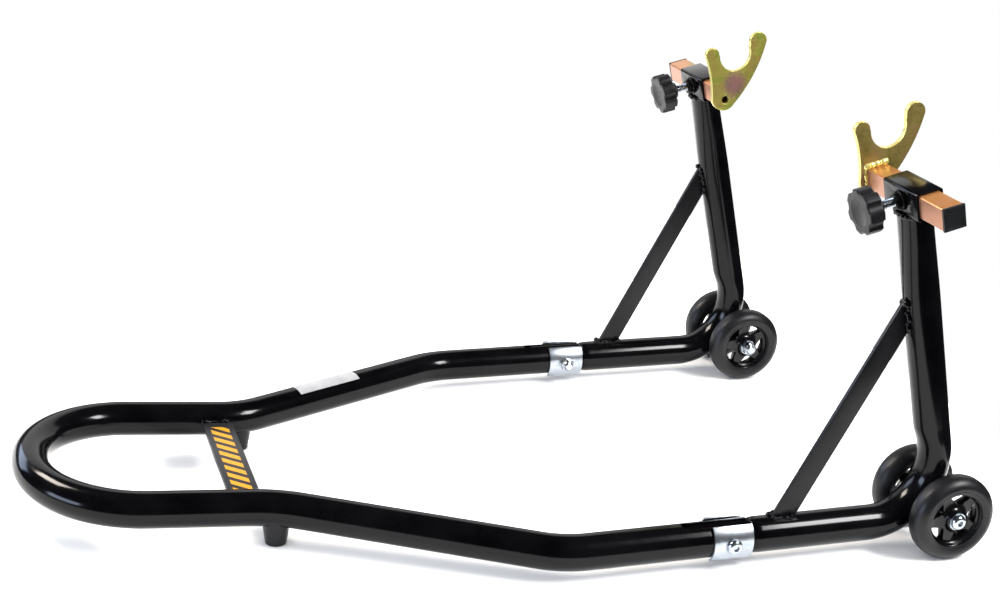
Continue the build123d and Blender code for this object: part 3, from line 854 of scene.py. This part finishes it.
braceWeld = {"run": (0.1117, 0, 0.2208), "toeIn": 11.2, "toeLift": 15.9, "toeHalf": 12,
             "toeBeside": 3.9, "topDown": 75.4, "topHalf": 15, "topBeside": 3.1, "endHalf": 2.5}
sleeveWeld = {"below": 0.6, "halfAcross": 14.3, "halfWide": 19.3, "steps": 28}
nutWeld = {"off": 0.8, "radius": 7.4, "steps": 18}
plateWeld = {"inset": 1, "y": 78, "drop": 0.2, "fall": 2, "apart": 4.6}
# how each weld is run, in mm: drop radius, spacing and unevenness
weldRuns = {"brace": (3.1, 3.4, 1.1), "sleeve": (1.9, 1.5, 0.25), "nut": (1.5, 1.5, 0.5),
            "plate": (2.4, 2.2, 0.6), "hook": (1.1, 0.15)}
# the bead round the bar on the hook, as start and end (across, along) and bead radius in mm
hookWeld = [((-10, 12.1), (10.5, 12.1), 3.0), ((-11.4, 9), (-11.4, -9), 2.1),
            ((-5, -10.6), (4, -10.6), 1.1), ((10.6, -3), (10.6, 8), 1.1)]


def braceSeams():
    # both sides and both ends of the brace's foot, then the same where it meets the upright
    shape = {name: value * mm for name, value in braceWeld.items() if name != "run"}
    foot = Vector((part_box("brace_left")[0].x + shape["toeIn"], trackHalf,
                   tubeHeight + shape["toeLift"]))
    run = Vector(braceWeld["run"]).normalized()
    top = sleeveFoot - along * shape["topDown"]
    crossing = top - run * (tube["radius"] / math.sin(run.angle(along)))
    sideways = outward * shape["endHalf"]
    length = Vector((shape["toeHalf"] - 0.5 * mm, 0, 0))
    seams = []
    for sign in (1, -1):
        beside = outward * (sign * shape["toeBeside"])
        seams.append([foot + beside - length, foot + beside + length])
    for sign in (-1, 1):
        end = foot + Vector((sign * shape["toeHalf"], 0, 0))
        seams.append([end - sideways, end + sideways])
    for sign in (1, -1):
        beside = outward * (sign * shape["topBeside"]) + across * (0.3 * mm)
        length = along * (shape["topHalf"] - 1 * mm)
        seams.append([crossing + beside - length, crossing + beside + length])
    for sign in (1, -1):
        end = crossing + along * (sign * shape["topHalf"])
        seams.append([end + sideways, end - sideways])
    return seams


def ringSeam(centre, first, second, steps):
    # a closed seam round a centre, its two half widths given as vectors
    angles = [2 * math.pi * step / steps for step in range(steps)]
    return [centre + first * math.cos(angle) + second * math.sin(angle) for angle in angles]


def sleeveSeam():
    return ringSeam(sleeveFoot - along * (sleeveWeld["below"] * mm),
                    across * (sleeveWeld["halfAcross"] * mm),
                    outward * (sleeveWeld["halfWide"] * mm), sleeveWeld["steps"])


def nutSeam():
    radius = nutWeld["radius"] * mm
    return ringSeam(clampFace - across * (nutWeld["off"] * mm), along * radius, outward * radius,
                    nutWeld["steps"])


def plateSeams():
    # across the end of the plate, over it and under it, falling a little towards the wheels
    low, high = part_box("handle_cross_plate")
    shape = {name: value * mm for name, value in plateWeld.items()}
    height = high.z - shape["drop"]
    upper = [Vector((low.x + shape["inset"], shape["y"], height)),
             Vector((high.x - shape["inset"], shape["y"], height - shape["fall"]))]
    return upper, [point - up * shape["apart"] for point in upper]


def mirrored(seam, side):
    return [onSide(point, side) for point in seam]


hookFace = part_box("hook_plate_left")[1].y
for side in sides:
    beads = [weldBead(mirrored(seam, side), *weldRuns["brace"]) for seam in braceSeams()]
    finishPiece(joinAll(beads), "braceWelds." + side, "frame", "black_powder_coat",
                finishes["powderWeld"], "brace_welds")
    ring = weldBead(mirrored(sleeveSeam(), side), *weldRuns["sleeve"], closed=True)
    finishPiece(ring, "sleeveWeld." + side, "frame", "black_powder_coat",
                finishes["powderWeld"], "sleeve_welds")
    ring = weldBead(mirrored(nutSeam(), side), *weldRuns["nut"], closed=True)
    finishPiece(ring, "nutWeld." + side, "frame", "black_powder_coat", finishes["blackZinc"])
    beads = [weldBead(mirrored(seam, side), *weldRuns["plate"]) for seam in plateSeams()]
    finishPiece(joinAll(beads), "crossPlateWeld." + side, "frame", "black_powder_coat",
                finishes["powderWeld"], "cross_plate_welds")
    corner = Vector((sleeveMiddle.x, hookFace - 1.3 * mm, sleeveMiddle.z))
    beads = []
    for start, end, radius in hookWeld:
        seam = [corner + across * (sideways * mm) + along * (lift * mm)
                for sideways, lift in (start, end)]
        beads.append(weldBead(mirrored(seam, side), radius, *weldRuns["hook"]))
    finishPiece(joinAll(beads), "hookWeld." + side, "slide_" + side, "yellow_zinc",
                finishes["zincWeld"], "hook_weld_" + side)
print("welds run")


def sleeveShell(length, bore):
    # square tube: long corners rounded, both ends inset by the wall and joined through
    piece = block((sleeve["outer"], sleeve["outer"], length))
    editEdges(piece, lambda first, second: abs(first.z - second.z) > length / 2)
    bpy.ops.mesh.bevel(offset=sleeve["corner"], segments=8, affect="EDGES")
    leaveEdit()
    editFaces(piece, lambda face: abs(face.normal.z) > 0.9)
    bpy.ops.mesh.inset(thickness=(sleeve["outer"] - sleeve["inner"]) / 2)
    bpy.ops.mesh.bridge_edge_loops()
    bpy.ops.mesh.select_all(action="SELECT")
    bpy.ops.mesh.normals_make_consistent(inside=False)
    leaveEdit()
    cut(piece, cylinder(bore, sleeve["outer"], (-sleeve["outer"] / 2, 0, 0),
                        (0, math.radians(90), 0)))
    return eased(piece, sleeve["edge"], 3, 50)


cap = {"size": 20 * mm, "flange": 2.5 * mm, "border": 1.7 * mm, "dish": 0.35 * mm,
       "plug": 15.8 * mm, "plugDepth": 12 * mm}


def endCap():
    # square flange with a thin raised border, and the plug that grips inside the bar
    piece = block((cap["size"], cap["size"], cap["flange"]), (0, 0, cap["flange"] / 2))
    editFaces(piece, lambda face: face.normal.z > 0.9)
    bpy.ops.mesh.inset(thickness=cap["border"])
    pulled((0, 0, -cap["dish"]))
    bpy.ops.mesh.select_all(action="DESELECT")
    leaveEdit()
    editFaces(piece, lambda face: face.normal.z < -0.9)
    bpy.ops.mesh.inset(thickness=(cap["size"] - cap["plug"]) / 2)
    pulled((0, 0, -cap["plugDepth"]))
    leaveEdit()
    return eased(piece, 0.4 * mm, 3, 30)


low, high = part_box("sleeve_left")
firstSleeve = sleeveShell(high.y - low.y, bolt["radius"] + 0.1 * mm)
for side in sides:
    spot = onSide(sleeveMiddle, side)
    finishPiece(place(copyOf(firstSleeve), spot, outward, across), "sleeve." + side, "frame",
                "black_powder_coat", finishes["powder"], "sleeve_" + side)
bpy.data.objects.remove(firstSleeve)

firstCap = endCap()
firstWeldNut = hexPrism(bolt["nutSize"], clamp["nutHeight"])
eased(firstWeldNut, 0.7 * mm, 3, 25)
cut(firstWeldNut, cylinder(bolt["bore"], 4 * clamp["nutHeight"]))
for side, sign in sides.items():
    low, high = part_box("bar_end_cap_" + side)
    outerFace = high.y if sign > 0 else -low.y
    spot = Vector((sleeveMiddle.x, sign * (outerFace - cap["flange"]), sleeveMiddle.z))
    finishPiece(place(copyOf(firstCap), spot, outward * sign, across), "barEndCap." + side,
                "slide_" + side, "cap_plastic", finishes["cap"], "bar_end_cap_" + side)
    spot = onSide(clampFace, side)
    finishPiece(place(copyOf(firstWeldNut), spot, -across, outward), "weldNut." + side,
                "frame", "black_zinc", finishes["blackZinc"], "sleeve_nuts")
bpy.data.objects.remove(firstCap)
bpy.data.objects.remove(firstWeldNut)
print("sleeves, caps and weld nuts made")


stripes = {"pitch": 15.0, "share": 0.56, "slant": 0.75, "halfBand": 8.6, "halfLength": 66}


def stripedPlate():
    # satin black plate with a printed band of plain slanted yellow bars
    finish, tree, shader, coords = newFinish("printed satin powder coat", IOR=1.5,
                                            Specular_IOR_Level=0.3)
    grain = addNode(tree, "ShaderNodeTexNoise",
                    {"Scale": perMm(1.4), "Detail": 3, "Roughness": 0.55},
                    {"Vector": coords["Object"]})
    cloudy = addNode(tree, "ShaderNodeTexNoise",
                     {"Scale": perMm(30), "Detail": 3, "Roughness": 0.55},
                     {"Vector": coords["Object"]})
    dark = addNode(tree, "ShaderNodeValToRGB", {"stops": [(0.3, "#1a1a1c"), (0.7, "#232325")]},
                   {"Fac": cloudy.outputs["Fac"]})
    ink = addNode(tree, "ShaderNodeValToRGB", {"stops": [(0.3, "#b47c12"), (0.7, "#c08818")]},
                  {"Fac": grain.outputs["Fac"]})
    split = addNode(tree, "ShaderNodeSeparateXYZ", {}, {"Vector": coords["Object"]})
    plateX = middleOf("handle_cross_plate").x
    fromMiddle = addNode(tree, "ShaderNodeMath", {"operation": "SUBTRACT", 1: plateX},
                         {0: split.outputs["X"]})
    slanted = addNode(tree, "ShaderNodeMath", {"operation": "MULTIPLY_ADD", 1: stripes["slant"]},
                      {0: fromMiddle.outputs["Value"], 2: split.outputs["Y"]})
    steps = addNode(tree, "ShaderNodeMath", {"operation": "MULTIPLY", 1: perMm(stripes["pitch"])},
                    {0: slanted.outputs["Value"]})
    saw = addNode(tree, "ShaderNodeMath", {"operation": "FRACT"}, {0: steps.outputs["Value"]})
    bars = addNode(tree, "ShaderNodeMath", {"operation": "LESS_THAN", 1: stripes["share"]},
                   {0: saw.outputs["Value"]})
    masks = [bars]
    for source, limit in ((fromMiddle.outputs["Value"], stripes["halfBand"]),
                          (split.outputs["Y"], stripes["halfLength"])):
        size = addNode(tree, "ShaderNodeMath", {"operation": "ABSOLUTE"}, {0: source})
        masks.append(addNode(tree, "ShaderNodeMath", {"operation": "LESS_THAN", 1: limit * mm},
                             {0: size.outputs["Value"]}))
    normal = addNode(tree, "ShaderNodeSeparateXYZ", {}, {"Vector": coords["Normal"]})
    masks.append(addNode(tree, "ShaderNodeMath", {"operation": "GREATER_THAN", 1: 0.7},
                         {0: normal.outputs["Z"]}))
    mask = masks[0]
    for other in masks[1:]:
        mask = addNode(tree, "ShaderNodeMath", {"operation": "MULTIPLY"},
                       {0: mask.outputs["Value"], 1: other.outputs["Value"]})
    mixed = addNode(tree, "ShaderNodeMix", {"data_type": "RGBA"},
                    {0: mask.outputs["Value"], 6: dark.outputs["Color"], 7: ink.outputs["Color"]})
    gloss = addNode(tree, "ShaderNodeMapRange", {"To Min": 0.3, "To Max": 0.42},
                    {"Value": grain.outputs["Fac"]})
    bump = addNode(tree, "ShaderNodeBump", {"Strength": 0.4, "Distance": 0.02 * mm},
                   {"Height": grain.outputs["Fac"]})
    surface(tree, shader, mixed.outputs[2], gloss, bump)
    return finish


finishPiece(easedCopy("handle_cross_plate", 0.4), "crossPlate", "frame", "black_powder_coat",
            stripedPlate(), "handle_cross_plate", angle=40)
print("cross plate printed")


def labelFilm():
    # matt polyester label: off-white film with a little grime and a soft sheen
    finish, tree, shader, coords = newFinish("polyester label film", IOR=1.48)
    grime = addNode(tree, "ShaderNodeTexNoise",
                    {"Scale": perMm(14), "Detail": 4, "Roughness": 0.55},
                    {"Vector": coords["Object"]})
    colour = addNode(tree, "ShaderNodeValToRGB",
                     {"stops": [(0.3, "#8e8e92"), (0.55, "#99999c"), (0.7, "#a1a1a1")]},
                     {"Fac": grime.outputs["Fac"]})
    sheen = addNode(tree, "ShaderNodeTexNoise",
                    {"Scale": perMm(5), "Detail": 3, "Roughness": 0.55},
                    {"Vector": coords["Object"]})
    gloss = addNode(tree, "ShaderNodeMapRange", {"To Min": 0.32, "To Max": 0.5},
                    {"Value": sheen.outputs["Fac"]})
    tree.links.new(colour.outputs["Color"], shader.inputs["Base Color"])
    tree.links.new(gloss.outputs["Result"], shader.inputs["Roughness"])
    return finish


keptNodes = {"blank_label": labelFilm(), "foot_screws": finishes["zinc"],
             "axle_washers": finishes["zinc"], "axle_tube_welds": finishes["powderWeld"]}
for side in sides:
    keptNodes["foot_" + side] = finishes["foot"]
    keptNodes["clamp_knob_" + side] = finishes["knob"]
    for where in ("outer", "inner"):
        keptNodes["wheel_bush_" + where + "_" + side] = finishes["bush"]
for node, finish in keptNodes.items():
    for holder in frame["nodes"][node].material_slots:
        holder.material = finish
print("kept pieces painted")


# the floor's left, right, front and back; reflections see a dim grey room
studio = {"floor": (-1.7, 0.58, -0.46, 1.8), "topStrength": 3.7, "topAngle": 150,
          "roomGrey": "#27282b", "rearTube": (0.27, -0.208, 0.04),
          "handleEnd": (-0.38, -0.05, 0.05)}
# each box of light: direction, distance, what it faces, width, height, watts and colour
softboxes = {
    "keySoftbox": ((0.497, -0.42, 0.76), 1.8, studio["rearTube"], 0.42, 0.74, 43, "#ffffff"),
    "backSoftbox": ((-0.40, 0.47, 0.78), 2.0, studio["handleEnd"], 0.5, 0.8, 44, "#fff6ea"),
    "windowLow": ((-0.93, -0.3, 0.22), 2.5, studio["handleEnd"], 1.5, 0.6, 40, "#d3e2ff"),
    "windowBack": ((-0.52, 0.78, 0.32), 3.0, studio["handleEnd"], 1.5, 0.9, 30, "#c9d9f5"),
    "backdropGlow": ((0.3, 0.85, 0.42), 2.6, (0, 0, 0.1), 4.5, 1.3, 23, "#ffffff")}


def paleFloor():
    left, right, front, back = studio["floor"]
    selectOnly()
    bpy.ops.mesh.primitive_plane_add(size=1, location=((left + right) / 2, (front + back) / 2,
                                                       -0.3 * mm))
    floor = bpy.context.object
    floor.name = "studioFloor"
    floor.scale = (right - left, back - front, 1)
    freeze(floor)
    finish, tree, shader, coords = newFinish("matt white paper", IOR=1.4, Roughness=0.9,
                                             Specular_IOR_Level=0.1)
    cloudy = addNode(tree, "ShaderNodeTexNoise",
                     {"Scale": perMm(400), "Detail": 3, "Roughness": 0.55},
                     {"Vector": coords["Object"]})
    tone = addNode(tree, "ShaderNodeValToRGB", {"stops": [(0.3, "#f3f3f2"), (0.7, "#f7f7f7")]},
                   {"Fac": cloudy.outputs["Fac"]})
    tree.links.new(tone.outputs["Color"], shader.inputs["Base Color"])
    floor.data.materials.append(finish)


def softbox(name, direction, distance, target, wide, tall, power, colour):
    # a rectangle of light facing its target, its width level or along the stand
    direction = Vector(direction).normalized()
    light = bpy.data.lights.new(name, "AREA")
    light.shape = "RECTANGLE"
    light.size = wide
    light.size_y = tall
    light.energy = power
    light.color = linearColour(colour)[:3]
    lamp = bpy.data.objects.new(name, light)
    bpy.context.collection.objects.link(lamp)
    width = Vector((1, 0, 0)) if abs(direction.x) < 0.6 else up.cross(direction)
    width = (width - direction * width.dot(direction)).normalized()
    turn = Matrix((width, direction.cross(width), direction)).transposed().to_4x4()
    lamp.matrix_world = Matrix.Translation(Vector(target) + direction * distance) @ turn
    lamp.visible_camera = False


paleFloor()
for name, settings in softboxes.items():
    softbox(name, *settings)
topLight = bpy.data.lights.new("broadTop", "SUN")
topLight.energy = studio["topStrength"]
topLight.angle = math.radians(studio["topAngle"])
topLamp = bpy.data.objects.new("broadTop", topLight)
bpy.context.collection.objects.link(topLamp)
topLamp.visible_glossy = False

world = bpy.data.worlds.new("studioWorld")
bpy.context.scene.world = world
world.use_nodes = True
worldTree = world.node_tree
background = worldTree.nodes["Background"]
rays = addNode(worldTree, "ShaderNodeLightPath")
backdrop = addNode(worldTree, "ShaderNodeMix",
                   {"data_type": "RGBA", 6: linearColour(studio["roomGrey"]),
                    7: linearColour("#ffffff")},
                   {0: rays.outputs["Is Camera Ray"]})
worldTree.links.new(backdrop.outputs[2], background.inputs["Color"])

view = {"place": (-0.45288, -1.33455, 0.69413), "turn": -19.31, "tilt": 20.49, "roll": 3.80,
        "lens": 58.74, "shiftX": 0.00884, "shiftY": 0.01363}
turn, tilt, roll = (math.radians(view[name]) for name in ("turn", "tilt", "roll"))
ahead = Vector((-math.sin(turn) * math.cos(tilt), math.cos(turn) * math.cos(tilt), -math.sin(tilt)))
level = Vector((math.cos(turn), math.sin(turn), 0))
overhead = level.cross(ahead)
right = level * math.cos(roll) + overhead * math.sin(roll)
top = overhead * math.cos(roll) - level * math.sin(roll)
lensData = bpy.data.cameras.new("camera")
lensData.lens = view["lens"]
lensData.sensor_width = 36
lensData.shift_x = view["shiftX"]
lensData.shift_y = view["shiftY"]
lensData.clip_start = 0.05
camera = bpy.data.objects.new("camera", lensData)
bpy.context.collection.objects.link(camera)
camera.matrix_world = (Matrix.Translation(view["place"])
                       @ Matrix((right, top, -ahead)).transposed().to_4x4())
bpy.context.scene.camera = camera
bpy.context.scene.view_settings.view_transform = "Standard"
print("studio lit")
